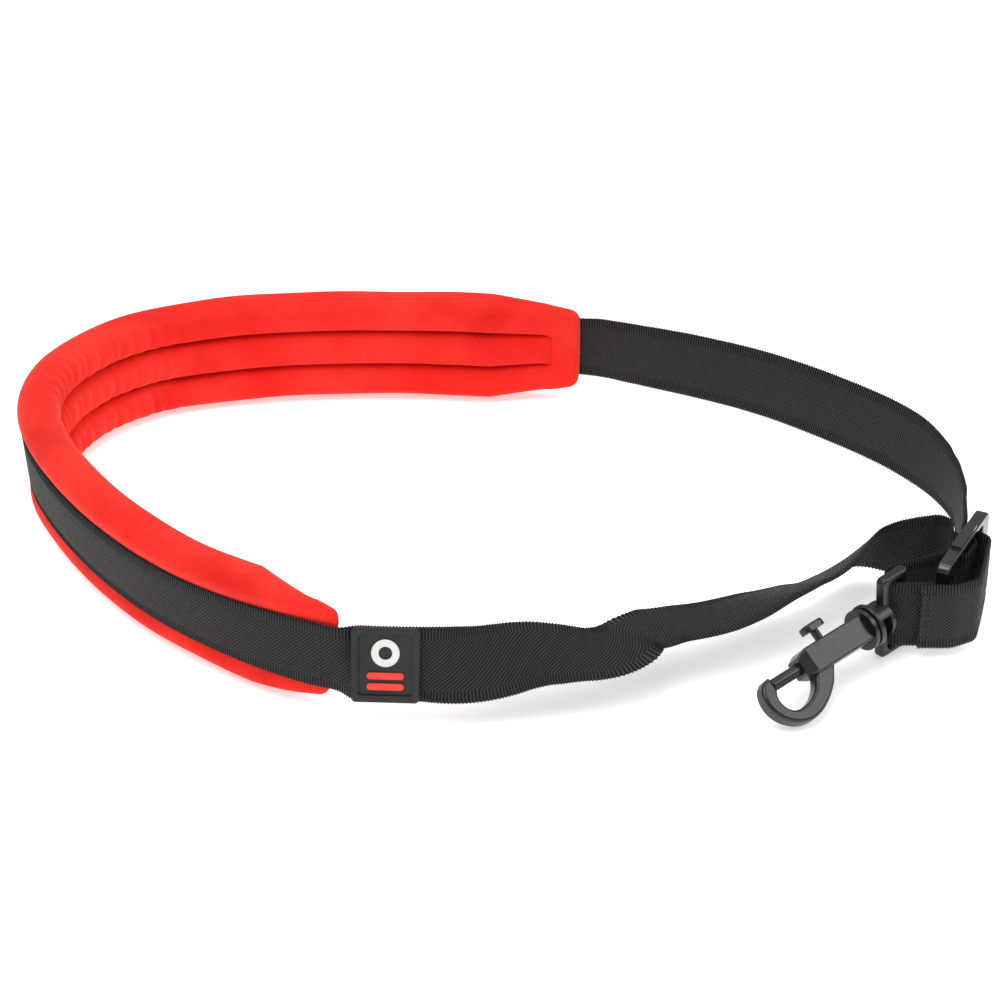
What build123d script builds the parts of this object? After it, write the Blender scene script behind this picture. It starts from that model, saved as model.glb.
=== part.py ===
"""Saxophone neck strap: padded neck band, 25 mm webbing, tri-glide slider and swivel snap hook.

The strap stands on its edge in an open loop.  +Z is up, the pad is on -X, the hook on +X,
and the origin is at the middle of the base.  Millimetres.
"""
import os
from math import cos, degrees, radians, sin

from build123d import *

# ---- webbing and pad sizes ----------------------------------------------------------------
webbing_width = 25.0
webbing_thickness = 1.4
pad_height = 44.0
pad_thickness = 13.0
pad_end_height = 33.0
pad_end_thickness = 3.6
pad_taper_length = 36.0
cover_thickness = 1.3
channel_count = 3
channel_overlap = 0.3
channel_round = 4.4
thread_radius = 0.35

# ---- patch sizes --------------------------------------------------------------------------
patch_length = 22.0
patch_base = 1.0
patch_frame = 0.8
patch_gap = 0.25
frame_width = 2.2

# ---- slider sizes -------------------------------------------------------------------------
slider_length = 44.0
slider_height = 31.0
slider_thickness = 4.5
slot_height = 26.4
slot_length = 12.0
middle_bar_length = 6.0
middle_bar_thickness = 3.2
boss_length = 17.0
boss_height = 1.0

# ---- swivel ring sizes --------------------------------------------------------------------
bar_radius = 2.0
ring_inner_half = 13.2
ring_side = 2.7
ring_inner_depth = 7.0
ring_outer_depth = 10.5
ring_width = 4.0
barrel_radius = 6.2
rim_radius = 7.6
barrel_start = 8.6
barrel_end = 15.0
ring_rim_end = 16.8
window_size = 7.6
window_start = 10.2
window_end = 14.6
post_radius = 2.5
post_clearance = 0.1
post_head_radius = 3.5

# ---- snap hook sizes, along the swivel axis from the ring's bar ---------------------------
neck_start = 17.0
hook_rim_start = 17.8
body_start = 19.4
body_end = 46.0
nose_end = 50.0
body_side = 9.5
nose_side = 6.6
hook_thickness = 5.4
bolt_radius = 2.1
bore_clearance = 0.1
bolt_back = 33.4
bolt_tip = 62.8
bolt_travel = 9.0
knob_place = 35.5
knob_stem_radius = 1.5
knob_pin_radius = 1.2
spring_back = 21.0
spring_wire = 0.25
spring_radius = 1.6

# ---- where things stand -------------------------------------------------------------------
pad_middle_height = pad_height / 2
hardware_height = slider_height / 2 + boss_height
band_start = Vector(34.9, 113.1, pad_middle_height)
band_heading = 167.0
# radius and turn of each stretch of the neck band, from its right end to its left end
band_arcs = [(358, 18), (190, 15), (73, 76), (95, 17), (250, 18), (190, 28)]
slider_middle = Vector(160.9, -51.9, hardware_height)
slider_heading = 62.87
bar_middle = Vector(137.4, -71.4, hardware_height)
hook_heading = 221.6
hook_tilt = 4.2
hook_roll = 39.0

# ---- webbing legs: x, y, z of the middle line, and the lean of the top edge to the left ----
left_leg_points = [
    (-45.4, -113.7, 22.0, 15),
    (-34.0, -114.5, 22.1, 16.5),
    (-22.5, -114.7, 21.9, 18),
    (-9.1, -113.1, 20.6, 34),
    (2.9, -109.0, 19.8, 51),
    (22.9, -103.4, 18.8, 71),
    (46.9, -92.9, 18.3, 87),
    (69.9, -81.8, 17.9, 96),
    (87.9, -71.1, 17.5, 105),
    (101.9, -61.5, 17.2, 117),
    (114.9, -51.5, 16.9, 127),
    (125.9, -38.9, 16.7, 140),
    (135.9, -33.4, 16.5, 160),
]
left_leg_turn = 180
right_leg_points = [
    (53.0, 108.8, 21.4, 6),
    (71.1, 102.4, 20.6, 12),
    (105.1, 86.8, 19.1, 18),
    (134.4, 64.2, 18.0, 21),
    (154.0, 43.4, 17.3, 17),
    (164.2, 24.1, 16.8, 6),
    (168.0, 8.2, 16.6, 0),
    (168.3, -4.8, 16.5, 0),
]
right_leg_turn = 0
left_leg_end = Vector(146.9, -33.4, hardware_height)
right_leg_end = Vector(166.9, -17.4, hardware_height)
bend_radius = 1.9
bight_radius = 4.98

UP = Vector(0, 0, 1)


def heading(turn):
    """Level unit vector at this many degrees from +X."""
    return Vector(cos(radians(turn)), sin(radians(turn)), 0)


def arc_chain(start, turn, arcs):
    """Tangent arcs, one after another."""
    with BuildLine() as chain:
        spot, way = start, heading(turn)
        for radius, angle in arcs:
            arc = JernArc(spot, way, radius, angle)
            spot, way = arc @ 1, arc % 1
    return chain.wire()


def across(path, share):
    """Plane across a level path: local X to its left, local Y up."""
    forward = path % share
    return Plane(origin=path @ share, x_dir=UP.cross(forward), z_dir=forward)


def leaning(spot, forward, lean):
    """Plane across the webbing: local X through its thickness, local Y along its width."""
    forward = forward.normalized()
    left = UP.cross(forward).normalized()
    up = forward.cross(left)
    through = left * cos(radians(lean)) - up * sin(radians(lean))
    return Plane(origin=spot, x_dir=through, z_dir=forward)


def leg_planes(start, start_way, points, end, end_way, end_lean):
    """Section planes of a webbing leg, from its first end to its last."""
    spots = [start] + [Vector(x, y, z) for x, y, z, lean in points] + [end]
    planes = [leaning(start, start_way, 0)]
    for index, point in enumerate(points):
        way = spots[index + 2] - spots[index]
        planes.append(leaning(spots[index + 1], way, point[3]))
    planes.append(leaning(end, end_way, end_lean))
    return planes


def slider_point(along, out):
    """Spot beside the slider: along its length, and out from its middle plane."""
    ahead = heading(slider_heading)
    side = heading(slider_heading - 90)
    return slider_middle + ahead * along + side * out


def webbing_wire(points, radii):
    """Level route of a short piece of webbing, with a rounded bend at each inner point."""
    with BuildLine() as route:
        FilletPolyline(*points, radius=radii)
    return route.wire()


# ---- neck band ----------------------------------------------------------------------------
band = arc_chain(band_start, band_heading, band_arcs)
band_length = band.length
taper_share = pad_taper_length / band_length
first_radius, first_turn = band_arcs[0]
last_radius, last_turn = band_arcs[-1]
first_rest = first_turn - degrees(pad_taper_length / first_radius)
last_rest = last_turn - degrees(pad_taper_length / last_radius)
pad_arcs = [(first_radius, first_rest)] + band_arcs[1:-1] + [(last_radius, last_rest)]
pad_heading = band_heading + first_turn - first_rest
pad_path = arc_chain(band @ taper_share, pad_heading, pad_arcs)
pad_full = across(pad_path, 0)

cover_back = webbing_thickness / 2 + cover_thickness
channel_depth = pad_thickness - cover_thickness
channel_pitch = (pad_height - channel_overlap) / channel_count
channel_middle = cover_back + channel_depth / 2


def pad_end_planes(outer_share, inner_share):
    """Planes from a full section of the pad to its flat sewn end, with the share of taper."""
    steps = 3
    for step in range(steps + 1):
        share = step / steps
        yield across(band, inner_share + (outer_share - inner_share) * share), share


def blend(full, end, share):
    """Size part of the way from the full section to the end."""
    return full + (end - full) * share


with BuildPart() as webbing_over_pad:
    with BuildSketch(across(band, 0)):
        Rectangle(webbing_thickness, webbing_width)
    sweep(path=band)

pad_ends = [(0, taper_share), (1, 1 - taper_share)]

with BuildPart() as pad_outer_cover:
    with BuildSketch(pad_full):
        with Locations((webbing_thickness / 2 + cover_thickness / 2, 0)):
            Rectangle(cover_thickness, pad_height)
    sweep(path=pad_path)
    for outer_share, inner_share in pad_ends:
        for plane, share in pad_end_planes(outer_share, inner_share):
            with BuildSketch(plane):
                with Locations((webbing_thickness / 2 + cover_thickness / 2, 0)):
                    Rectangle(cover_thickness, blend(pad_height, pad_end_height, share))
        loft(ruled=True)

with BuildPart() as pad_inner_cover:
    with BuildSketch(pad_full):
        with Locations((channel_middle, 0)):
            with GridLocations(0, channel_pitch, 1, channel_count):
                RectangleRounded(channel_depth, channel_pitch + channel_overlap, channel_round)
                RectangleRounded(
                    channel_depth - 2 * cover_thickness,
                    channel_pitch + channel_overlap - 2 * cover_thickness,
                    channel_round - cover_thickness,
                    mode=Mode.SUBTRACT,
                )
    sweep(path=pad_path)
    for outer_share, inner_share in pad_ends:
        for plane, share in pad_end_planes(outer_share, inner_share):
            depth = blend(channel_depth, pad_end_thickness - cover_thickness, share)
            with BuildSketch(plane):
                with Locations((cover_back + depth / 2, 0)):
                    RectangleRounded(depth, blend(pad_height, pad_end_height, share), depth / 2.6)
        loft(ruled=True)

foam_cores = {}
for name, level in [("lower", -1), ("middle", 0), ("upper", 1)]:
    with BuildPart() as foam_core:
        with BuildSketch(pad_full):
            with Locations((channel_middle, level * channel_pitch)):
                RectangleRounded(
                    channel_depth - 2 * cover_thickness,
                    channel_pitch + channel_overlap - 2 * cover_thickness,
                    channel_round - cover_thickness,
                )
        sweep(path=pad_path)
    foam_cores[name] = foam_core

groove_depth = cover_back + channel_depth - 1.2
with BuildPart() as channel_stitching:
    with BuildSketch(pad_full):
        with Locations((groove_depth, 0)):
            with GridLocations(0, channel_pitch, 1, channel_count - 1):
                Circle(thread_radius)
    sweep(path=pad_path)

stitch_length = 2.2
stitch_size = 0.6
end_row_places = [7 / band_length, 1 - 7 / band_length]
with BuildPart() as pad_end_stitches:
    for share in end_row_places:
        row = across(band, share)
        face = Plane(origin=row.origin - row.x_dir * (webbing_thickness / 2), x_dir=UP, z_dir=-row.x_dir)
        with BuildSketch(face):
            with GridLocations(3.2, 0, 7, 1):
                Rectangle(stitch_length, stitch_size)
        extrude(amount=stitch_size / 2)

# ---- webbing legs -------------------------------------------------------------------------
left_planes = leg_planes(
    band @ 1, band % 1, left_leg_points, left_leg_end, Vector(13, 3.5, 0), left_leg_turn
)
with BuildPart() as webbing_left_leg:
    for plane in left_planes:
        with BuildSketch(plane):
            Rectangle(webbing_thickness, webbing_width)
    loft()

slot_middle = (middle_bar_length + slot_length) / 2
right_slot_entry = slider_point(slot_middle + 10.5, -5.4)
right_planes = leg_planes(
    band @ 0, -(band % 0), right_leg_points, right_leg_end, right_slot_entry - right_leg_end, right_leg_turn
)
with BuildPart() as webbing_right_leg:
    for plane in right_planes:
        with BuildSketch(plane):
            Rectangle(webbing_thickness, webbing_width)
    loft()

# ---- webbing through the slider and round the ring's bar ----------------------------------
front_route = webbing_wire(
    [
        right_leg_end,
        right_slot_entry,
        slider_point(12.8, -4.2),
        slider_point(11.8, 1.5),
        slider_point(9.5, 6.5),
        bar_middle + (29, 8, 0),
        bar_middle + (26, -2, 0),
        bar_middle + (17.5, -6.6, 0),
        bar_middle + (6, -6.6, 0),
    ],
    [2, 1.5, 4, 3, 12, 5, 7],
)
with BuildPart() as webbing_front_ply:
    with BuildSketch(across(front_route, 0)):
        Rectangle(webbing_thickness, webbing_width)
    sweep(path=front_route)

loop_route = webbing_wire(
    [
        left_leg_end,
        left_leg_end + (13, 3.5, 0),
        slider_point(7, -6),
        slider_point(5.6, 3.1),
        slider_point(-5.6, 3.1),
        slider_point(-6.6, -3.9),
        bar_middle + (-bight_radius, 5, 0),
        bar_middle + (-bight_radius, -5, 0),
        bar_middle + (10, -5, 0),
    ],
    [4.5, 3, bend_radius, bend_radius, bend_radius, bight_radius, bight_radius - 0.05],
)
with BuildPart() as webbing_adjuster_loop:
    with BuildSketch(across(loop_route, 0)):
        Rectangle(webbing_thickness, webbing_width)
    sweep(path=loop_route)

seam_plane = Plane(
    origin=bar_middle + (8, -6.6 - webbing_thickness / 2, 0), x_dir=UP, z_dir=(0, -1, 0)
)
with BuildPart() as seam_stitches:
    with BuildSketch(seam_plane):
        with GridLocations(3.2, 2.4, 7, 2):
            Rectangle(stitch_length, stitch_size)
    extrude(amount=stitch_size / 2)

# ---- rubber patch -------------------------------------------------------------------------
patch_spot = Vector(*left_leg_points[1][:3])
patch_way = Vector(*left_leg_points[2][:3]) - Vector(*left_leg_points[0][:3])
patch_section = leaning(patch_spot, patch_way, left_leg_points[1][3])


def patch_face(height):
    """Plane on the outside of the webbing at the patch: local X along it, local Y up it."""
    out = -patch_section.x_dir
    spot = patch_spot + out * (webbing_thickness / 2 + height)
    return Plane(origin=spot, x_dir=patch_way.normalized(), z_dir=out)


with BuildPart() as rubber_patch:
    with BuildSketch(patch_face(patch_base)):
        RectangleRounded(patch_length, webbing_width, 1.5)
    extrude(amount=patch_gap - patch_base)
    with BuildSketch(patch_face(patch_base)):
        RectangleRounded(patch_length, webbing_width, 1.5)
        RectangleRounded(
            patch_length - 2 * frame_width, webbing_width - 2 * frame_width, 1, mode=Mode.SUBTRACT
        )
    extrude(amount=patch_frame)

with BuildPart() as patch_stitches:
    with BuildSketch(patch_face(patch_base + patch_frame)):
        with GridLocations(3, webbing_width - frame_width, 6, 2):
            Rectangle(stitch_length, stitch_size)
        with GridLocations(patch_length - frame_width, 3, 2, 7):
            Rectangle(stitch_size, stitch_length)
    extrude(amount=stitch_size / 3)

emblem_height = 0.6
with BuildPart() as emblem_ring:
    with BuildSketch(patch_face(patch_base)):
        with Locations((0, 4)):
            Circle(4.6)
            Circle(2.2, mode=Mode.SUBTRACT)
    extrude(amount=emblem_height)

with BuildPart() as emblem_bars:
    with BuildSketch(patch_face(patch_base)):
        with Locations((0, -5.5)):
            with GridLocations(0, 3.6, 1, 2):
                SlotOverall(12, 2.2)
    extrude(amount=emblem_height)

# ---- slider -------------------------------------------------------------------------------
slider_way = heading(slider_heading)
slider_out = heading(slider_heading - 90)
slider_side = Plane(origin=slider_middle, x_dir=slider_way, z_dir=slider_out)
with BuildPart() as slider:
    with BuildSketch(slider_side):
        RectangleRounded(slider_length, slider_height, 3)
        with GridLocations(2 * slot_middle, 0, 2, 1):
            RectangleRounded(slot_length, slot_height, 1.2, mode=Mode.SUBTRACT)
    extrude(amount=slider_thickness / 2, both=True)
    broad_faces = slider.faces().sort_by(Axis(slider_middle, slider_out))
    fillet(broad_faces[0].edges() + broad_faces[-1].edges(), 0.6)
    for way in (slider_out, -slider_out):
        bar_face = Plane(slider_middle + way * (middle_bar_thickness / 2), x_dir=slider_way, z_dir=way)
        with BuildSketch(bar_face):
            Rectangle(middle_bar_length + 1, slot_height)
        extrude(amount=slider_thickness, mode=Mode.SUBTRACT)
    for way in (UP, -UP):
        boss_face = Plane(slider_middle + way * (slider_height / 2), x_dir=slider_way, z_dir=way)
        with BuildSketch(boss_face):
            Rectangle(boss_length, slider_thickness - 0.8)
        extrude(amount=boss_height)

# ---- swivel ring --------------------------------------------------------------------------
swivel_side = heading(hook_heading + 90)
swivel_way = heading(hook_heading) * cos(radians(hook_tilt)) - UP * sin(radians(hook_tilt))
bar_way = swivel_way.cross(swivel_side)
ring_plane = Plane(origin=bar_middle, x_dir=bar_way, z_dir=swivel_side)
ring_outer_half = ring_inner_half + ring_side


def swivel_plane(distance):
    """Plane across the swivel axis at this distance from the bar: local X along the bar."""
    return Plane(origin=bar_middle + swivel_way * distance, x_dir=bar_way, z_dir=swivel_way)


with BuildPart() as swivel_ring:
    with BuildSketch(ring_plane):
        with Locations((0, (ring_outer_depth - bar_radius) / 2)):
            RectangleRounded(2 * ring_outer_half, ring_outer_depth + bar_radius, bar_radius - 0.05)
        with Locations((0, ring_inner_depth / 2 - bar_radius)):
            RectangleRounded(
                2 * ring_inner_half, ring_inner_depth + 2 * bar_radius, 1.4, mode=Mode.SUBTRACT
            )
    extrude(amount=ring_width / 2, both=True)
    fillet(swivel_ring.edges().filter_by(Axis(bar_middle, bar_way)), 1.2)
    with BuildSketch(Plane(origin=bar_middle, x_dir=swivel_side, z_dir=bar_way)):
        Circle(bar_radius)
    extrude(amount=ring_outer_half - 0.5, both=True)
    with BuildSketch(swivel_plane(barrel_start)):
        Circle(barrel_radius)
    extrude(amount=barrel_end - barrel_start)
    with BuildSketch(swivel_plane(barrel_end)):
        Circle(rim_radius)
    extrude(amount=ring_rim_end - barrel_end)
    fillet(swivel_ring.edges().filter_by(GeomType.CIRCLE).sort_by(SortBy.RADIUS)[-1], 0.5)
    with BuildSketch(swivel_plane(window_start)):
        Rectangle(window_size, 3 * barrel_radius)
    extrude(amount=window_end - window_start, mode=Mode.SUBTRACT)
    with BuildSketch(swivel_plane(window_end)):
        Circle(post_radius + post_clearance)
    extrude(amount=ring_rim_end - window_end, mode=Mode.SUBTRACT)

post_head_start = window_end - 2.7
post_shoulder = window_end - 0.3
post_end = body_start + 0.8
with BuildPart() as swivel_post:
    with BuildSketch(swivel_plane(post_head_start)):
        Circle(post_head_radius)
    extrude(amount=post_shoulder - post_head_start)
    with BuildSketch(swivel_plane(post_shoulder)):
        Circle(post_radius)
    extrude(amount=post_end - post_shoulder)

# ---- snap hook ----------------------------------------------------------------------------
knob_way = bar_way * sin(radians(hook_roll)) - swivel_side * cos(radians(hook_roll))
hook_face_way = knob_way.cross(swivel_way)
hook_plane = Plane(origin=bar_middle, x_dir=knob_way, z_dir=hook_face_way)


def hook_section(distance):
    """Plane across the hook at this distance from the ring's bar: local X towards the knob."""
    return Plane(origin=bar_middle + swivel_way * distance, x_dir=knob_way, z_dir=swivel_way)


with BuildPart() as hook_body:
    with BuildSketch(hook_plane):
        with BuildLine():
            outside = Spline(
                (-9.4, 41.5), (-14.6, 49.5), (-16.2, 58), (-12.4, 66), (-4.6, 69.4), (1.4, 67), (2.7, 63)
            )
            tip = Line(outside @ 1, (-2.4, 63))
            inside = Spline(tip @ 1, (-6.2, 64.2), (-10.2, 62), (-11, 56.5), (-8.6, 50.4), (-3.6, 46.5))
            Polyline(inside @ 1, (-3.2, 45), (-3.2, 36.5), outside @ 0)
        make_face()
    extrude(amount=hook_thickness / 2, both=True)
    fillet(hook_body.faces().sort_by(Axis(bar_middle, hook_face_way))[0].edges(), 1.2)
    fillet(hook_body.faces().sort_by(Axis(bar_middle, hook_face_way))[-1].edges(), 1.2)
    with BuildSketch(hook_section(body_start)):
        RectangleRounded(body_side, body_side, 0.7)
    extrude(amount=body_end - body_start)
    with BuildSketch(hook_section(body_end)):
        RectangleRounded(body_side, body_side, 0.7)
    with BuildSketch(hook_section(nose_end)):
        RectangleRounded(nose_side, nose_side, 0.7)
    loft()
    with BuildSketch(hook_section(hook_rim_start)):
        Circle(rim_radius - 0.3)
    extrude(amount=body_start - hook_rim_start)
    with BuildSketch(hook_section(neck_start + 0.2)):
        Circle(barrel_radius - 0.6)
    extrude(amount=hook_rim_start - neck_start - 0.2)
    with BuildSketch(hook_section(neck_start)):
        Circle(post_radius)
    extrude(amount=post_end - neck_start, mode=Mode.SUBTRACT)
    with BuildSketch(hook_section(spring_back)):
        Circle(bolt_radius + bore_clearance)
    extrude(amount=nose_end - spring_back, mode=Mode.SUBTRACT)
    slot_start = knob_place - bolt_travel - knob_stem_radius - bore_clearance
    slot_end = knob_place + knob_stem_radius + bore_clearance
    with BuildSketch(hook_section(slot_start)):
        with Locations((body_side / 2, 0)):
            Rectangle(body_side, 2 * (knob_stem_radius + bore_clearance))
    extrude(amount=slot_end - slot_start, mode=Mode.SUBTRACT)

knob_axis_spot = bar_middle + swivel_way * knob_place


def knob_plane(height):
    """Plane across the knob's stem at this height above the bolt's axis."""
    return Plane(origin=knob_axis_spot + knob_way * height, x_dir=swivel_way, z_dir=knob_way)


with BuildPart() as locking_bolt:
    with BuildSketch(hook_section(bolt_back)):
        Circle(bolt_radius)
    extrude(amount=bolt_tip - bolt_back)
    fillet(locking_bolt.edges().sort_by(Axis(bar_middle, swivel_way))[-1], 0.6)
    with BuildSketch(knob_plane(-1)):
        Circle(knob_pin_radius)
    extrude(amount=2 * bolt_radius, mode=Mode.SUBTRACT)

stem_start = bolt_radius + 0.05
cap_start = 8.3
cap_thickness = 2.6
with BuildPart() as thumb_knob:
    with BuildSketch(knob_plane(cap_start)):
        RectangleRounded(9, 5.4, 2.2)
    extrude(amount=cap_thickness)
    fillet(thumb_knob.faces().sort_by(Axis(bar_middle, knob_way))[-1].edges(), 0.8)
    with BuildSketch(knob_plane(-1)):
        Circle(knob_pin_radius)
    extrude(amount=stem_start + 1)
    with BuildSketch(knob_plane(stem_start)):
        Circle(knob_stem_radius)
    extrude(amount=cap_start - stem_start)

spring_turns = 5
spring_length = bolt_back - spring_back - 2 * spring_wire
with BuildPart() as bolt_spring:
    with BuildLine():
        coil = Helix(
            pitch=spring_length / spring_turns,
            height=spring_length,
            radius=spring_radius,
            center=bar_middle + swivel_way * (spring_back + spring_wire),
            direction=swivel_way,
        )
    with BuildSketch(Plane(origin=coil @ 0, z_dir=coil % 0)):
        Circle(spring_wire)
    sweep(path=coil, is_frenet=True)

# ---- pieces written out -------------------------------------------------------------------
pieces = {
    "pad_outer_cover": pad_outer_cover,
    "pad_inner_cover": pad_inner_cover,
    "foam_core_lower": foam_cores["lower"],
    "foam_core_middle": foam_cores["middle"],
    "foam_core_upper": foam_cores["upper"],
    "channel_stitching": channel_stitching,
    "pad_end_stitches": pad_end_stitches,
    "webbing_over_pad": webbing_over_pad,
    "webbing_left_leg": webbing_left_leg,
    "webbing_right_leg": webbing_right_leg,
    "webbing_front_ply": webbing_front_ply,
    "webbing_adjuster_loop": webbing_adjuster_loop,
    "seam_stitches": seam_stitches,
    "rubber_patch": rubber_patch,
    "patch_stitches": patch_stitches,
    "emblem_ring": emblem_ring,
    "emblem_bars": emblem_bars,
    "slider": slider,
    "swivel_ring": swivel_ring,
    "swivel_post": swivel_post,
    "hook_body": hook_body,
    "locking_bolt": locking_bolt,
    "thumb_knob": thumb_knob,
    "bolt_spring": bolt_spring,
}
os.makedirs("parts", exist_ok=True)
for name, piece in pieces.items():
    piece.part.label = name
    export_step(piece.part, f"parts/{name}.step")
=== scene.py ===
from math import cos, pi, radians, sin, sqrt

import bpy
import numpy as np
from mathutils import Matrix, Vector


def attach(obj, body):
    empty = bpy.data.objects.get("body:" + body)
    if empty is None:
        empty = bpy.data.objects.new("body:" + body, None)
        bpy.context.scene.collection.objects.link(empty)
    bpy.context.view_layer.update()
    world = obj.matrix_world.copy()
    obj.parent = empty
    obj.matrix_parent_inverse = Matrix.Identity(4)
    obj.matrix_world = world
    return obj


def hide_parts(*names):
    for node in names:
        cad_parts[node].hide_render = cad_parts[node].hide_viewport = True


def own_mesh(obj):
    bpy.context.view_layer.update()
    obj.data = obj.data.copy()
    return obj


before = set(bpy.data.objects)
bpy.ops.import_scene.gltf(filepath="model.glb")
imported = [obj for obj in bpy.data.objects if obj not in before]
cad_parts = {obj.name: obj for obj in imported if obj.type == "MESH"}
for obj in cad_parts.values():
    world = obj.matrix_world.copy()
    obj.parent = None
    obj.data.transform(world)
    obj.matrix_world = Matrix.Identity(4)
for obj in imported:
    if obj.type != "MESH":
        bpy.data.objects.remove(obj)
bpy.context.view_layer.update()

SCENE = bpy.context.scene
MM = 0.001

# ---- camera -------------------------------------------------------------------------------
camera_data = bpy.data.cameras.new("camera")
camera_data.lens = 93.4
camera_data.sensor_width = 36.0
camera_data.sensor_fit = "AUTO"
camera_data.clip_start = 0.01
camera_data.clip_end = 20.0
camera = bpy.data.objects.new("camera", camera_data)
camera.location = (0.0029, -0.8122, 0.4855)
aim = Vector((0.0029, 0.0286, 0.0))
camera.rotation_euler = (aim - camera.location).to_track_quat("-Z", "Y").to_euler()
SCENE.collection.objects.link(camera)
SCENE.camera = camera

# ---- sizes and places, the same as in the CAD source (millimetres) -------------------------
WEB_WIDTH = 25.0
WEB_THICK = 1.4
PAD_HEIGHT = 44.0
PAD_THICK = 13.0
PAD_END_HEIGHT = 33.0
PAD_END_THICK = 3.6
PAD_TAPER = 36.0
PAD_LEVEL = 22.0
BAND_START = (34.9, 113.1)
BAND_HEADING = 167.0
BAND_ARCS = [(358, 18), (190, 15), (73, 76), (95, 17), (250, 18), (190, 28)]
HARDWARE_LEVEL = 16.5
SLIDER_MIDDLE = np.array((160.9, -51.9, HARDWARE_LEVEL))
SLIDER_HEADING = 62.87
BAR_MIDDLE = np.array((137.4, -71.4, HARDWARE_LEVEL))
LEFT_END = np.array((146.9, -33.4, HARDWARE_LEVEL))
RIGHT_END = np.array((166.9, -17.4, HARDWARE_LEVEL))
UP = np.array((0.0, 0.0, 1.0))


# ---- paths --------------------------------------------------------------------------------
def band_at(s):
    """Spot and forward direction of the neck band at s mm from its right end."""
    x, y = BAND_START
    turn = radians(BAND_HEADING)
    for radius, angle in BAND_ARCS:
        span = radians(angle)
        part = min(max(s, 0.0), radius * span) if (radius, angle) != BAND_ARCS[-1] else max(s, 0.0)
        bend = part / radius
        x += radius * (sin(turn + bend) - sin(turn))
        y -= radius * (cos(turn + bend) - cos(turn))
        turn += bend
        s -= radius * span
        if s <= 0:
            break
    return np.array((x, y, PAD_LEVEL)), np.array((cos(turn), sin(turn), 0.0))


BAND_LENGTH = sum(radius * radians(angle) for radius, angle in BAND_ARCS)


def fade(value, low, high):
    """Smooth step from 0 to 1."""
    t = min(1.0, max(0.0, (value - low) / (high - low)))
    return t * t * (3 - 2 * t)


MOST_LEAN = 7.0


def band_lean(s):
    """Lean of the pad's top edge at s, in degrees; below zero it leans out of the loop."""
    return -MOST_LEAN * fade(s, 210, 330) * (1 - fade(s, 395, BAND_LENGTH))


def band_axes(s):
    """Spot, forward, inward and upward directions of the leaning band at s."""
    spot, forward = band_at(s)
    lean = radians(band_lean(s))
    left = np.cross(UP, forward)
    return spot, forward, left * cos(lean) - UP * sin(lean), UP * cos(lean) + left * sin(lean)


def smooth_path(points, step):
    """Centripetal Catmull-Rom line through rows of numbers, resampled at even steps."""
    rows = np.array(points, float)
    rows = np.vstack([2 * rows[0] - rows[1], rows, 2 * rows[-1] - rows[-2]])
    fine = []
    for i in range(1, len(rows) - 2):
        p0, p1, p2, p3 = rows[i - 1:i + 3]
        t1 = sqrt(np.linalg.norm((p1 - p0)[:3]))
        t2 = t1 + sqrt(np.linalg.norm((p2 - p1)[:3]))
        t3 = t2 + sqrt(np.linalg.norm((p3 - p2)[:3]))
        for t in np.linspace(t1, t2, 24, endpoint=False):
            a1 = p0 * (t1 - t) / t1 + p1 * t / t1
            a2 = p1 * (t2 - t) / (t2 - t1) + p2 * (t - t1) / (t2 - t1)
            a3 = p2 * (t3 - t) / (t3 - t2) + p3 * (t - t2) / (t3 - t2)
            b1 = a1 * (t2 - t) / t2 + a2 * t / t2
            b2 = a2 * (t3 - t) / (t3 - t1) + a3 * (t - t1) / (t3 - t1)
            fine.append(b1 * (t2 - t) / (t2 - t1) + b2 * (t - t1) / (t2 - t1))
    fine.append(rows[-2])
    return even(np.array(fine), step)


def even(rows, step):
    """The same line at even steps."""
    gaps = np.linalg.norm(np.diff(rows[:, :3], axis=0), axis=1)
    run = np.concatenate([[0], np.cumsum(gaps)])
    marks = np.linspace(0, run[-1], max(2, int(round(run[-1] / step)) + 1))
    return np.column_stack([np.interp(marks, run, rows[:, k]) for k in range(rows.shape[1])])


def slider_spot(along, out):
    """Spot beside the slider: along its length, and out from its middle plane."""
    a, b = radians(SLIDER_HEADING), radians(SLIDER_HEADING - 90)
    return SLIDER_MIDDLE + np.array((cos(a), sin(a), 0)) * along + np.array((cos(b), sin(b), 0)) * out


def bent_route(points, radii, step):
    """Level route with a rounded bend at each inner point."""
    points = [np.array(p, float) for p in points]
    line = [points[0]]
    for i, radius in enumerate(radii, 1):
        into = points[i] - points[i - 1]
        away = points[i + 1] - points[i]
        into /= np.linalg.norm(into)
        away /= np.linalg.norm(away)
        turn = np.arccos(np.clip(into @ away, -1, 1))
        cut = radius * np.tan(turn / 2)
        side = away - into * (into @ away)
        side /= np.linalg.norm(side)
        centre = points[i] - into * cut + side * radius
        for bend in np.linspace(0, turn, 14):
            line.append(centre + radius * (into * sin(bend) - side * cos(bend)))
    line.append(points[-1])
    return even(np.array(line), step)


def frames(rows, lean):
    """Directions along, through and across the webbing at each row."""
    forward = np.gradient(rows[:, :3], axis=0)
    forward /= np.linalg.norm(forward, axis=1)[:, None]
    left = np.cross(UP, forward)
    left /= np.linalg.norm(left, axis=1)[:, None]
    up = np.cross(forward, left)
    c, s = np.cos(np.radians(lean))[:, None], np.sin(np.radians(lean))[:, None]
    return forward, left * c - up * s, up * c + left * s


LEG_STEP = 6.0
EDGE_ZONE = 0.25


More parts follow.
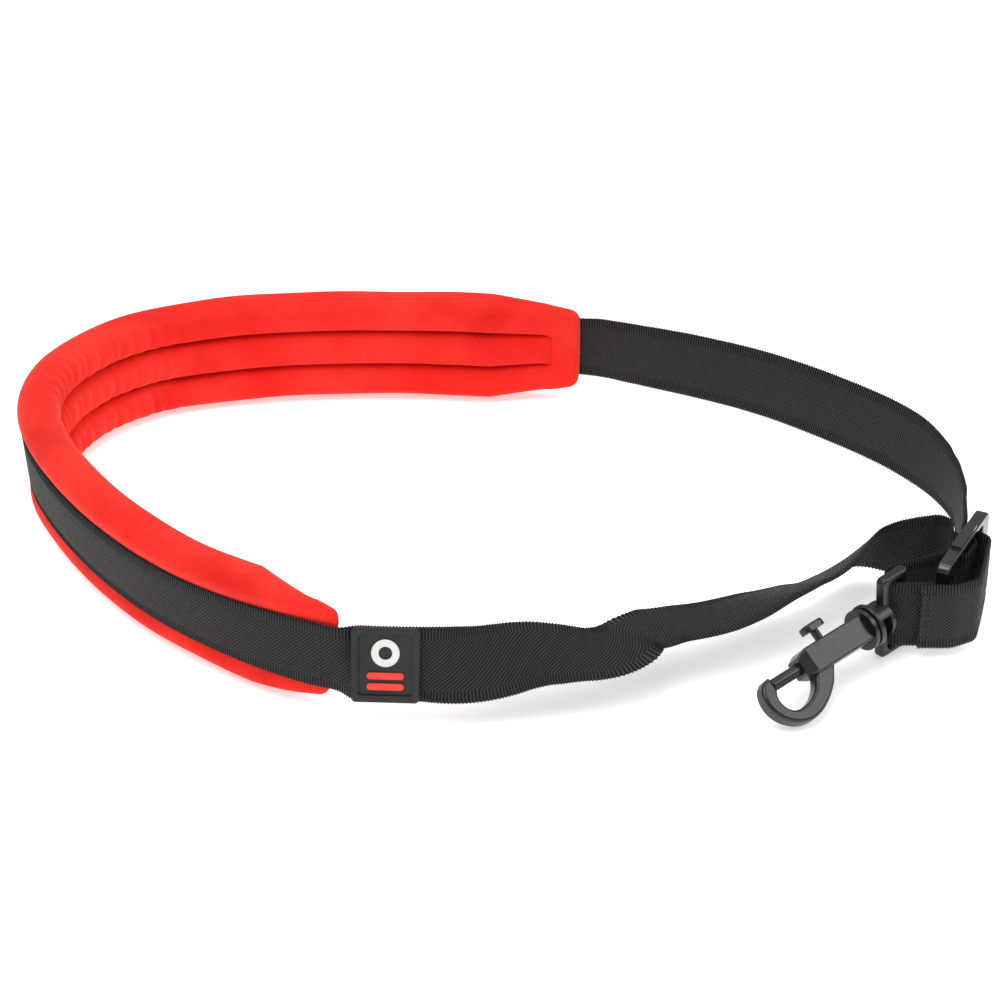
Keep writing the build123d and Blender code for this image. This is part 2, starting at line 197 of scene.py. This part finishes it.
def leg_rows(node, start, way, end):
    """Middle line and lean of a webbing leg, read from its CAD solid by slicing it square to its run."""
    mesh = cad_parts[node].data
    spots = np.zeros(3 * len(mesh.vertices))
    mesh.vertices.foreach_get("co", spots)
    spots = spots.reshape(-1, 3) / MM
    ends = np.zeros(2 * len(mesh.edges), int)
    mesh.edges.foreach_get("vertices", ends)
    ends = ends.reshape(-1, 2)
    middle, across, rows = np.array(start, float), UP, []
    way = np.array(way, float) / np.linalg.norm(way)
    while np.linalg.norm(end - middle) > 1.5 * LEG_STEP:
        target = middle + way * LEG_STEP
        height = (spots - target) @ way
        cut = ends[height[ends[:, 0]] * height[ends[:, 1]] < 0]
        low, high = height[cut[:, 0]], height[cut[:, 1]]
        share = (low / (low - high))[:, None]
        slice_spots = spots[cut[:, 0]] * (1 - share) + spots[cut[:, 1]] * share
        slice_spots = slice_spots[np.linalg.norm(slice_spots - target, axis=1) < WEB_WIDTH * 0.8]
        axis = np.linalg.svd(slice_spots - slice_spots.mean(axis=0), full_matrices=False)[2][0]
        axis *= 1 if axis @ across > 0 else -1
        reach = slice_spots @ axis
        top = slice_spots[reach > reach.max() - EDGE_ZONE].mean(axis=0)
        base = slice_spots[reach < reach.min() + EDGE_ZONE].mean(axis=0)
        across = (top - base) / np.linalg.norm(top - base)
        way = (top + base) / 2 - middle
        way /= np.linalg.norm(way)
        middle = (top + base) / 2
        left = np.cross(UP, way) / np.linalg.norm(np.cross(UP, way))
        lean = np.degrees(np.arctan2(across @ left, across @ np.cross(way, left)))
        rows.append((*middle, lean))
    rows = np.array(rows)
    rows[:, 3] = np.degrees(np.unwrap(np.radians(rows[:, 3])))
    return [tuple(row) for row in rows]


# ---- meshes -------------------------------------------------------------------------------
def mesh_object(name, verts, faces, uvs=None, smooth=True):
    """New mesh object; verts in millimetres, uvs per vertex."""
    mesh = bpy.data.meshes.new(name)
    mesh.from_pydata([tuple(v) for v in np.asarray(verts) * MM], [], faces)
    mesh.polygons.foreach_set("use_smooth", [smooth] * len(mesh.polygons))
    if uvs is not None:
        layer = mesh.uv_layers.new(name="UVMap")
        index = np.zeros(len(mesh.loops), int)
        mesh.loops.foreach_get("vertex_index", index)
        layer.data.foreach_set("uv", np.asarray(uvs, float)[index].ravel())
    mesh.validate()
    mesh.update()
    item = bpy.data.objects.new(name, mesh)
    SCENE.collection.objects.link(item)
    return item


def grid_faces(rows, ring, closed):
    """Quads between rows of ring points, with flat ends when closed."""
    faces = []
    for i in range(rows - 1):
        for j in range(ring):
            k = (j + 1) % ring
            faces.append((i * ring + j, i * ring + k, (i + 1) * ring + k, (i + 1) * ring + j))
    if closed:
        faces.append(tuple(range(ring))[::-1])
        faces.append(tuple((rows - 1) * ring + j for j in range(ring)))
    return faces


SELVEDGE = 4.0
RIB_PITCH = 1.0
RIB_RISE = 0.2
STATION = RIB_PITCH / 4


def ribbon(name, rows, lean, start=0.0):
    """Woven webbing: ribbed selvedges with a faintly toothed edge, and a slightly crowned face."""
    forward, through, across = frames(rows, lean)
    gaps = np.linalg.norm(np.diff(rows[:, :3], axis=0), axis=1)
    run = start + np.concatenate([[0], np.cumsum(gaps)])
    half = WEB_WIDTH / 2
    marks = [-1, -0.985, -0.93, -0.84, -0.75, -0.68, -0.64, -0.5, -0.25, 0]
    marks = np.array(marks + [-m for m in marks[-2::-1]]) * half
    verts, uvs = [], []
    for i, spot in enumerate(rows[:, :3]):
        rib = cos(2 * pi * run[i] / RIB_PITCH)
        for side, places in ((1, marks), (-1, marks[::-1])):
            for place in places:
                edge = abs(place) / half
                band = 1.0 if abs(place) > half - SELVEDGE else 0.0
                crown = 0.5 * WEB_THICK * (1.0 - 0.78 * max(0.0, edge - 0.93) / 0.07)
                dip = 0.12 if 0.62 < edge < 0.7 else 0.0
                depth = crown - dip + band * RIB_RISE * 0.5 * (rib - 1)
                reach = place * (1 + (0.018 * rib if edge > 0.97 else 0))
                verts.append(spot + through[i] * side * depth + across[i] * reach)
                uvs.append((run[i] * MM, (place + half) * MM))
    ring = 2 * len(marks)
    item = mesh_object(name, verts, grid_faces(len(rows), ring, True), uvs)
    return item


def stitches(name, spots, ways, outs, length, width):
    """Short thread stitches, each a rounded grain lying on the cloth."""
    rings, points = 7, 8
    verts, faces = [], []
    for spot, way, out in zip(spots, ways, outs):
        way = np.array(way) / np.linalg.norm(way)
        out = np.array(out) / np.linalg.norm(out)
        side = np.cross(out, way)
        base = len(verts)
        for i in range(rings):
            t = -1 + 2 * i / (rings - 1)
            fat = max(0.12, sqrt(max(0.0, 1 - t ** 4)))
            sink = 0.32 * width * t * t
            for j in range(points):
                a = 2 * pi * j / points
                verts.append(
                    spot + way * (t * length / 2) + side * (cos(a) * fat * width / 2)
                    + out * (sin(a) * fat * width / 2 - sink)
                )
        block = grid_faces(rings, points, True)
        faces += [tuple(base + k for k in face) for face in block]
    return mesh_object(name, verts, faces)


# ---- materials ----------------------------------------------------------------------------
class Paint:
    """A material under construction."""

    def __init__(self, name):
        self.material = bpy.data.materials.new(name)
        self.material.use_nodes = True
        self.tree = self.material.node_tree
        self.shader = self.tree.nodes["Principled BSDF"]

    def node(self, kind, **values):
        item = self.tree.nodes.new(kind)
        for key, value in values.items():
            setattr(item, key, value)
        return item

    def link(self, source, target):
        self.tree.links.new(source, target)

    def put(self, target, value):
        if isinstance(value, (int, float, tuple)):
            target.default_value = value
        else:
            self.link(value, target)

    def math(self, operation, a, b=0.0, c=0.0):
        item = self.node("ShaderNodeMath", operation=operation)
        for socket, value in zip(item.inputs, (a, b, c)):
            self.put(socket, value)
        return item.outputs[0]

    def noise(self, scale, detail=2.0, rough=0.5, vector=None):
        item = self.node("ShaderNodeTexNoise")
        item.inputs["Scale"].default_value = scale
        item.inputs["Detail"].default_value = detail
        item.inputs["Roughness"].default_value = rough
        self.link(vector or self.place(), item.inputs["Vector"])
        return item.outputs["Fac"]

    def place(self):
        return self.node("ShaderNodeTexCoord").outputs["Object"]

    def step(self, value, low, high):
        item = self.node("ShaderNodeMapRange", interpolation_type="SMOOTHSTEP")
        self.link(value, item.inputs["Value"])
        item.inputs["From Min"].default_value = low
        item.inputs["From Max"].default_value = high
        return item.outputs["Result"]

    def mix(self, share, a, b):
        item = self.node("ShaderNodeMix", data_type="RGBA")
        self.put(item.inputs[0], share)
        self.put(item.inputs[6], a)
        self.put(item.inputs[7], b)
        return item.outputs[2]

    def bump(self, height, distance, strength=1.0, under=None):
        item = self.node("ShaderNodeBump")
        item.inputs["Strength"].default_value = strength
        item.inputs["Distance"].default_value = distance
        self.link(height, item.inputs["Height"])
        if under is not None:
            self.link(under, item.inputs["Normal"])
        return item.outputs["Normal"]

    def set(self, **values):
        for key, value in values.items():
            self.put(self.shader.inputs[key.replace("_", " ")], value)


def velour():
    paint = Paint("red_velour")
    nap = paint.step(paint.noise(34.0, 1.5, 0.5), 0.55, 0.72)
    cloud = paint.step(paint.noise(20.0, 3.0, 0.55), 0.32, 0.7)
    pile = paint.noise(2600.0, 2.0, 0.7)
    soft = paint.noise(420.0, 3.0, 0.6)
    base = paint.mix(cloud, (0.80, 0.010, 0.007, 1), (0.90, 0.034, 0.023, 1))
    base = paint.mix(paint.math("MULTIPLY", nap, 0.7), base, (0.66, 0.005, 0.004, 1))
    base = paint.mix(paint.math("MULTIPLY", paint.step(pile, 0.35, 0.7), 0.22), base, (1.0, 0.09, 0.065, 1))
    # Painted shade: the 'groove' attribute from make_pad darkens the velour towards deep red in the grooves,
    # the seam dip and the folds.
    painted_groove_shade = paint.step(paint.node("ShaderNodeAttribute", attribute_name="groove").outputs["Fac"], 0.15, 1.0)
    base = paint.mix(paint.math("MULTIPLY", painted_groove_shade, 0.6), base, (0.3, 0.0, 0.0, 1))
    speck = paint.node("ShaderNodeTexVoronoi", feature="F1")
    speck.inputs["Scale"].default_value = 240.0
    paint.link(paint.place(), speck.inputs["Vector"])
    grain = paint.math("LESS_THAN", speck.outputs["Distance"], 0.075)
    rare = paint.math("GREATER_THAN", paint.noise(95.0, 1.0), 0.66)
    lint = paint.math("MULTIPLY", grain, rare)
    base = paint.mix(paint.math("MULTIPLY", lint, 0.33), base, (1.0, 0.5, 0.42, 1))
    height = paint.math("ADD", paint.math("MULTIPLY", pile, 0.55), paint.math("MULTIPLY", soft, 0.9))
    paint.set(
        Base_Color=base, Roughness=0.92, Sheen_Weight=0.42, Sheen_Roughness=0.45,
        Sheen_Tint=(1.0, 0.3, 0.24, 1), Specular_IOR_Level=0.12,
        Normal=paint.bump(height, 0.0005, 0.65),
    )
    return paint.material


TWILL_PITCH = 1.45
TWILL_SLOPE = 1.1
TWILL_SHARE = 0.95
WEAVE_SHARE = 0.15
PICK_PITCH = 0.42
WARP_PITCH = 0.45


def webbing():
    paint = Paint("black_webbing")
    split = paint.node("ShaderNodeSeparateXYZ")
    paint.link(paint.node("ShaderNodeUVMap", uv_map="UVMap").outputs["UV"], split.inputs[0])
    u, v = split.outputs[0], split.outputs[1]
    offset = paint.math("ABSOLUTE", paint.math("SUBTRACT", v, WEB_WIDTH / 2 * MM))
    edge = paint.step(offset, (WEB_WIDTH / 2 - SELVEDGE - 0.15) * MM, (WEB_WIDTH / 2 - SELVEDGE + 0.15) * MM)
    drift = paint.math("MULTIPLY", paint.noise(70.0, 2.0), 0.0006)
    slant = paint.math("ADD", paint.math("SUBTRACT", u, paint.math("MULTIPLY", v, TWILL_SLOPE)), drift)
    twill = paint.math("SINE", paint.math("MULTIPLY", slant, 2 * pi / (TWILL_PITCH * MM)))
    pick = paint.math("SINE", paint.math("MULTIPLY", v, 2 * pi / (PICK_PITCH * MM)))
    warp = paint.math("SINE", paint.math("MULTIPLY", u, 2 * pi / (WARP_PITCH * MM)))
    weave = paint.math("MULTIPLY", paint.math("MULTIPLY", pick, warp), WEAVE_SHARE)
    body = paint.math("ADD", paint.math("MULTIPLY", twill, TWILL_SHARE), weave)
    ribs = paint.math("COSINE", paint.math("MULTIPLY", u, 2 * pi / (RIB_PITCH * MM)))
    blend = paint.node("ShaderNodeMix", data_type="FLOAT")
    paint.link(edge, blend.inputs[0])
    paint.link(body, blend.inputs[2])
    paint.link(ribs, blend.inputs[3])
    height = blend.outputs[0]
    # Painted shade and highlight: the weave's valleys and rib hollows are coloured near black, and its
    # ridges lighter.
    painted_weave_light = paint.step(height, -0.75, 0.95)
    base = paint.mix(painted_weave_light, (0.001, 0.001, 0.001, 1), (0.043, 0.0425, 0.0395, 1))
    worn = paint.math("MULTIPLY", paint.step(paint.noise(55.0, 4.0, 0.6), 0.35, 0.8), 0.18)
    base = paint.mix(worn, base, (0.03, 0.0295, 0.0275, 1))
    fuzz = paint.noise(3000.0, 2.0)
    normal = paint.bump(height, 0.0003, 1.0, paint.bump(fuzz, 0.00006, 0.35))
    paint.set(
        Base_Color=base, Roughness=paint.math("ADD", 0.6, paint.math("MULTIPLY", fuzz, 0.2)),
        Specular_IOR_Level=0.3, Sheen_Weight=0.03, Sheen_Roughness=0.4, Normal=normal,
    )
    return paint.material


def moulded(name, dark, pale, rough, coat=0.0, grain=900.0, depth=0.00003):
    """Moulded plastic or rubber, with faint clouds, fine grain and small scuffs."""
    paint = Paint(name)
    cloud = paint.step(paint.noise(90.0, 4.0, 0.6), 0.3, 0.75)
    scuff = paint.step(paint.noise(700.0, 5.0, 0.75), 0.62, 0.7)
    base = paint.mix(cloud, dark, pale)
    worn = tuple(min(1.0, 2.2 * c) for c in pale[:3]) + (1,)
    base = paint.mix(paint.math("MULTIPLY", scuff, 0.25), base, worn)
    fine = paint.noise(grain, 3.0, 0.6)
    level = paint.math("ADD", rough - 0.08, paint.math("MULTIPLY", fine, 0.16))
    paint.set(Base_Color=base, Roughness=level, Coat_Weight=coat, Normal=paint.bump(fine, depth, 0.6))
    if coat:
        paint.shader.inputs["Coat Roughness"].default_value = 0.18
    return paint.material


def thread(name, dark, pale):
    """Twisted sewing thread."""
    paint = Paint(name)
    wave = paint.node("ShaderNodeTexWave", bands_direction="DIAGONAL")
    wave.inputs["Scale"].default_value = 1500.0
    wave.inputs["Distortion"].default_value = 1.5
    paint.link(paint.place(), wave.inputs["Vector"])
    twist = wave.outputs["Fac"]
    paint.set(
        Base_Color=paint.mix(twist, dark, pale), Roughness=0.65, Sheen_Weight=0.15,
        Normal=paint.bump(twist, 0.00005, 0.7),
    )
    return paint.material


def steel():
    paint = Paint("pin_steel")
    streak = paint.noise(600.0, 4.0, 0.7)
    paint.set(
        Base_Color=paint.mix(streak, (0.42, 0.42, 0.43, 1), (0.62, 0.62, 0.62, 1)), Metallic=1.0,
        Roughness=paint.math("ADD", 0.22, paint.math("MULTIPLY", streak, 0.2)),
    )
    return paint.material


VELOUR = velour()
WEBBING = webbing()
BLACK_THREAD = thread("black_thread", (0.004, 0.004, 0.004, 1), (0.03, 0.0295, 0.0285, 1))
RED_THREAD = thread("red_thread", (0.28, 0.004, 0.004, 1), (0.62, 0.02, 0.016, 1))
HOOK_PLASTIC = moulded("hook_plastic", (0.007, 0.007, 0.0066, 1), (0.012, 0.012, 0.0113, 1), 0.3)
SLIDER_PLASTIC = moulded("slider_plastic", (0.008, 0.008, 0.008, 1), (0.017, 0.017, 0.0165, 1), 0.27, 0.4)
BLACK_RUBBER = moulded("black_rubber", (0.008, 0.008, 0.008, 1), (0.015, 0.015, 0.0145, 1), 0.5)
WHITE_RUBBER = moulded("white_rubber", (0.72, 0.72, 0.68, 1), (0.8, 0.8, 0.77, 1), 0.5)
RED_RUBBER = moulded("red_rubber", (0.78, 0.035, 0.025, 1), (0.86, 0.05, 0.035, 1), 0.5)
STEEL = steel()


def dress(item, material):
    """Gives a new piece its material."""
    item.data.materials.clear()
    item.data.materials.append(material)


# ---- padded neck band ---------------------------------------------------------------------
CHANNELS = 3
PITCH = PAD_HEIGHT / CHANNELS
FACE = WEB_THICK / 2
PAD_STEP = 1.0
CLOSING = 11.0
CORNER = 4.0
BEND_MIDDLE = 212.0
BEND_REACH = 62.0
random = np.random.default_rng(7)
fold_spots = np.cumsum(random.uniform(5.6, 9.0, 16))
fold_spots += BEND_MIDDLE - fold_spots.mean()
fold_sizes = random.uniform(0.6, 1.15, (CHANNELS, len(fold_spots)))
fold_slips = random.uniform(-1.3, 1.3, (CHANNELS, len(fold_spots)))


def fold_depth(s, channel, level):
    """How far a bunched fold pulls the inner face in at this spot."""
    depth = 0.0
    for k, place in enumerate(fold_spots):
        away = s - place - fold_slips[channel, k] - 1.8 * level * level
        strength = fade(BEND_REACH - abs(place - BEND_MIDDLE), 0, 30)
        depth += strength * fold_sizes[channel, k] * np.exp(-(away / 1.5) ** 2)
    return depth


def pad_ring(s):
    """Section of the pad at s: a list of spots in (inward, up), counter-clockwise."""
    end = min(s, BAND_LENGTH - s)
    taper = 1 - min(1.0, end / PAD_TAPER)
    flat = taper * (1 - 0.12 * (1 - taper))
    height = PAD_HEIGHT + (PAD_END_HEIGHT - PAD_HEIGHT) * max(0.0, taper - 0.03) / 0.97
    rim = sqrt(max(0.0, 1 - max(0.0, 1 - end / 2.2) ** 2))
    half = height / 2 - CORNER * (1 - sqrt(max(0.0, 1 - max(0.0, 1 - end / CORNER) ** 2)))
    thick = (PAD_THICK + (PAD_END_THICK - PAD_THICK) * flat) * (0.35 + 0.65 * rim)
    closing = fade(end, 9.5, 14.5)
    seam_dip = 0.45 * np.exp(-((end - CLOSING) / 1.2) ** 2)
    spots = []
    steps = 58
    for k in range(steps):
        y = -1 + 2 * k / (steps - 1)
        lane = min(CHANNELS - 1, int((y + 1) / 2 * CHANNELS))
        level = (y + 1) / 2 * CHANNELS - lane
        level = 2 * level - 1
        crown = (1 - abs(level) ** 2.6) ** 0.5 if abs(level) < 1 else 0.0
        outer_lane = 1 - abs(y) ** 8
        groove = 0.42 * closing
        share = (1 - groove) + groove * crown
        edge = sqrt(max(0.0, 1 - max(0.0, (abs(y) - 0.78) / 0.22) ** 2.2))
        x = thick * share * (0.42 + 0.58 * edge)
        puff = 0.7 * (1 - flat) * crown * outer_lane
        dent = fold_depth(s, lane, level) * crown * 1.35 * edge
        between = 1.0 if abs(y) < 0.36 else 0.0
        x += puff - dent - seam_dip * edge * between
        # The third value is painted shade: darker in the inner grooves between channels, in the seam dip and
        # in the fold dents.
        inner = 1.0 if abs(y) < 0.5 else 0.0
        shade = inner * closing * (1 - crown) ** 2 + between * seam_dip
        spots.append((FACE + x, y * half, shade + 0.24 * dent))
    back = 40
    for k in range(1, back):
        y = 1 - 2 * k / back
        shoulder = np.exp(-((abs(y) * half - 16.9) / 3.3) ** 2) * (1 - flat) * 1.9
        edge = sqrt(max(0.0, 1 - max(0.0, (abs(y) - 0.84) / 0.16) ** 2.2))
        x = thick * 0.42 * (1 - edge) - shoulder
        spots.append((FACE + x, y * half, 0.0))
    return spots


def make_pad():
    count = int(BAND_LENGTH / PAD_STEP)
    verts, rings, shades = [], [], []
    for i in range(count + 1):
        s = BAND_LENGTH * i / count
        spot, forward, left, up = band_axes(s)
        ring = pad_ring(min(max(s, 0.05), BAND_LENGTH - 0.05))
        ripple = 0.22 * sin(s / 17.0) + 0.18 * sin(s / 7.3 + 1.1)
        for x, y, shade in ring:
            swell = ripple * (1 if y > 0 else -0.7) * abs(y) / 22
            trim = 2.5 * fade(s, BAND_LENGTH - 26, BAND_LENGTH) * (1 - y / PAD_END_HEIGHT * 2)
            verts.append(spot + left * x + up * (y + swell) - forward * trim)
            shades.append(shade)
        rings.append(len(ring))
    item = mesh_object("neck_pad", verts, grid_faces(count + 1, rings[0], True))
    # The 'groove' attribute carries the painted shade that the velour colour reads.
    layer = item.data.attributes.new("groove", "FLOAT", "POINT")
    layer.data.foreach_set("value", np.array(shades, np.float32))
    low = min(v[2] for v in verts)
    if low < 0:
        co = np.array([v.co[:] for v in item.data.vertices])
        co[:, 2] = np.maximum(co[:, 2], 0.00002)
        item.data.vertices.foreach_set("co", co.ravel())
    smooth = item.modifiers.new("round", "SUBSURF")
    smooth.levels = smooth.render_levels = 1
    return item


pad = make_pad()
dress(pad, VELOUR)
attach(pad, "strap")
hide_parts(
    "pad_outer_cover", "pad_inner_cover", "foam_core_lower", "foam_core_middle", "foam_core_upper"
)

# ---- stitches on the pad ------------------------------------------------------------------
GROOVE_SPOT = 19
END_ROW = 7.0


def groove_depth(s):
    """Inward place of the groove between channels."""
    return pad_ring(s)[GROOVE_SPOT][0]


def pad_threads():
    spots, ways, outs = [], [], []
    for level in (-PITCH / 2, PITCH / 2):
        for s in np.arange(CLOSING + 1.5, BAND_LENGTH - CLOSING - 1.5, 3.1):
            spot, forward, left, up = band_axes(s)
            end = min(s, BAND_LENGTH - s)
            height = PAD_HEIGHT + (PAD_END_HEIGHT - PAD_HEIGHT) * (1 - min(1.0, end / PAD_TAPER))
            spots.append(spot + left * (groove_depth(s) - 0.1) + up * level * height / PAD_HEIGHT)
            ways.append(forward)
            outs.append(left)
    return stitches("channel_thread", spots, ways, outs, 2.5, 0.55)


channel_thread = pad_threads()
dress(channel_thread, RED_THREAD)
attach(channel_thread, "strap")
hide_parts("channel_stitching")


def end_stitches():
    spots, ways, outs = [], [], []
    for s in (END_ROW, BAND_LENGTH - END_ROW):
        spot, forward, left, up = band_axes(s)
        for level in np.arange(-11.4, 11.5, 1.9):
            spots.append(spot - left * (WEB_THICK / 2 + 0.05) + up * level)
            ways.append(up)
            outs.append(-left)
    return stitches("pad_end_thread", spots, ways, outs, 1.25, 0.5)


end_thread = end_stitches()
dress(end_thread, BLACK_THREAD)
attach(end_thread, "strap")
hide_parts("pad_end_stitches")

# ---- webbing ------------------------------------------------------------------------------
SLOT_MIDDLE = 9.0
front_rows = bent_route(
    [
        RIGHT_END, slider_spot(SLOT_MIDDLE + 10.5, -5.4), slider_spot(12.8, -4.2), slider_spot(11.8, 1.5),
        slider_spot(9.5, 6.5), BAR_MIDDLE + (29, 8, 0), BAR_MIDDLE + (26, -2, 0),
        BAR_MIDDLE + (17.5, -6.6, 0), BAR_MIDDLE + (6, -6.6, 0),
    ],
    [2, 1.5, 4, 3, 12, 5, 7], STATION,
)
loop_rows = bent_route(
    [
        LEFT_END, LEFT_END + (13, 3.5, 0), slider_spot(7, -6), slider_spot(5.6, 3.1), slider_spot(-5.6, 3.1),
        slider_spot(-6.6, -3.9), BAR_MIDDLE + (-4.98, 5, 0), BAR_MIDDLE + (-4.98, -5, 0),
        BAR_MIDDLE + (10, -5, 0),
    ],
    [4.5, 3, 1.9, 1.9, 1.9, 4.98, 4.93], STATION,
)
band_points = [tuple(band_at(s)[0]) + (band_lean(s),) for s in np.linspace(0, BAND_LENGTH, 40)]
right_way = RIGHT_END - slider_spot(SLOT_MIDDLE + 10.5, -5.4)
left_start, left_way = band_at(BAND_LENGTH)
long_run = [tuple(RIGHT_END) + (0,)] + leg_rows("webbing_right_leg", RIGHT_END, right_way, band_at(0)[0])
long_run += band_points + leg_rows("webbing_left_leg", left_start, left_way, LEFT_END)
long_run += [tuple(LEFT_END) + (180,)]
strip_rows = np.vstack([
    np.column_stack([front_rows[:0:-1], np.zeros(len(front_rows) - 1)]),
    smooth_path(long_run, STATION),
    np.column_stack([loop_rows[1:], np.full(len(loop_rows) - 1, 180.0)]),
])
strip = ribbon("webbing_strip", strip_rows, strip_rows[:, 3])
dress(strip, WEBBING)
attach(strip, "strap")
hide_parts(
    "webbing_over_pad", "webbing_left_leg", "webbing_right_leg", "webbing_front_ply",
    "webbing_adjuster_loop",
)

seam_spots, seam_ways, seam_outs = [], [], []
for along in (-1.2, 1.2):
    for level in np.arange(-10.5, 10.6, 2.1):
        seam_spots.append(BAR_MIDDLE + (8 + along, -6.6 - WEB_THICK / 2 - 0.02, level))
        seam_ways.append(UP)
        seam_outs.append((0, -1, 0))
seam = stitches("seam_thread", seam_spots, seam_ways, seam_outs, 1.5, 0.5)
dress(seam, BLACK_THREAD)
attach(seam, "strap")
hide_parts("seam_stitches")

# ---- spring, built as a fixed coil ---------------------------------------------------------
HOOK_WAY = np.array((-0.7458, -0.6621, -0.0732))
SPRING_SPAN = (21.25, 33.15)
SPRING_TURNS = 5
SPRING_RADIUS = 1.6
SPRING_WIRE = 0.25


def make_spring():
    across = np.cross(HOOK_WAY, UP)
    across /= np.linalg.norm(across)
    over = np.cross(across, HOOK_WAY)
    count, ring = 24 * SPRING_TURNS, 8
    verts = []
    for i in range(count + 1):
        turn = 2 * pi * SPRING_TURNS * i / count
        out = across * cos(turn) + over * sin(turn)
        reach = SPRING_SPAN[0] + (SPRING_SPAN[1] - SPRING_SPAN[0]) * i / count
        middle = BAR_MIDDLE + HOOK_WAY * reach + out * SPRING_RADIUS
        for j in range(ring):
            a = 2 * pi * j / ring
            verts.append(middle + (out * cos(a) + HOOK_WAY * sin(a)) * SPRING_WIRE)
    return mesh_object("spring_coil", verts, grid_faces(count + 1, ring, True))


spring = make_spring()
dress(spring, STEEL)
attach(spring, "hook")
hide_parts("bolt_spring")
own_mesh(spring)

# ---- CAD pieces that keep their shape ------------------------------------------------------
FINISHES = {
    "rubber_patch": (BLACK_RUBBER, 0.25), "patch_stitches": (BLACK_THREAD, 0.15),
    "emblem_ring": (WHITE_RUBBER, 0.2), "emblem_bars": (RED_RUBBER, 0.2),
    "slider": (SLIDER_PLASTIC, 0.25), "swivel_ring": (HOOK_PLASTIC, 0.3), "swivel_post": (STEEL, 0.1),
    "hook_body": (HOOK_PLASTIC, 0.22), "locking_bolt": (HOOK_PLASTIC, 0.15),
    "thumb_knob": (HOOK_PLASTIC, 0.2),
}
for name, (material, size) in FINISHES.items():
    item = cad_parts[name]
    if not item.material_slots:
        item.data.materials.append(material)
    for slot in item.material_slots:
        slot.material = material
    item.data.polygons.foreach_set("use_smooth", [True] * len(item.data.polygons))
    if size:
        weld = item.modifiers.new("weld", "WELD")
        weld.merge_threshold = 0.00001
        bevel = item.modifiers.new("bevel", "BEVEL")
        bevel.width = size * MM
        bevel.segments = 2
        bevel.limit_method = "ANGLE"
        bevel.angle_limit = radians(35)
        bevel.use_clamp_overlap = True
        bevel.harden_normals = False
        split = item.modifiers.new("normals", "WEIGHTED_NORMAL")
        split.keep_sharp = False

# ---- floor and light ----------------------------------------------------------------------
floor_mesh = bpy.data.meshes.new("floor")
floor_mesh.from_pydata([(-6, -6, 0), (6, -6, 0), (6, 6, 0), (-6, 6, 0)], [], [(0, 1, 2, 3)])
floor = bpy.data.objects.new("floor", floor_mesh)
floor.location.z = -0.0002
SCENE.collection.objects.link(floor)
white = Paint("floor_white")
haze = white.noise(3.0, 2.0)
white.set(
    Base_Color=white.mix(haze, (0.93, 0.93, 0.93, 1), (0.95, 0.95, 0.95, 1)), Roughness=0.9,
    Emission_Color=(1, 1, 1, 1), Emission_Strength=0.5,
)
floor_mesh.materials.append(white.material)

world = bpy.data.worlds.new("studio")
world.use_nodes = True
world.node_tree.nodes["Background"].inputs[0].default_value = (1, 1, 1, 1)
world.node_tree.nodes["Background"].inputs[1].default_value = 0.42
SCENE.world = world


def area_light(name, place, size, power):
    data = bpy.data.lights.new(name, "AREA")
    data.shape = "SQUARE"
    data.size = size
    data.energy = power
    item = bpy.data.objects.new(name, data)
    item.location = place
    item.rotation_euler = (-Vector(place)).to_track_quat("-Z", "Y").to_euler()
    SCENE.collection.objects.link(item)


area_light("key", (-0.45, -0.55, 1.5), 1.0, 15)
area_light("side", (1.06, -0.06, 0.93), 0.6, 4)
area_light("top", (0.1, 0.5, 1.6), 1.2, 8)
SCENE.view_settings.view_transform = "Standard"
SCENE.view_settings.look = "None"
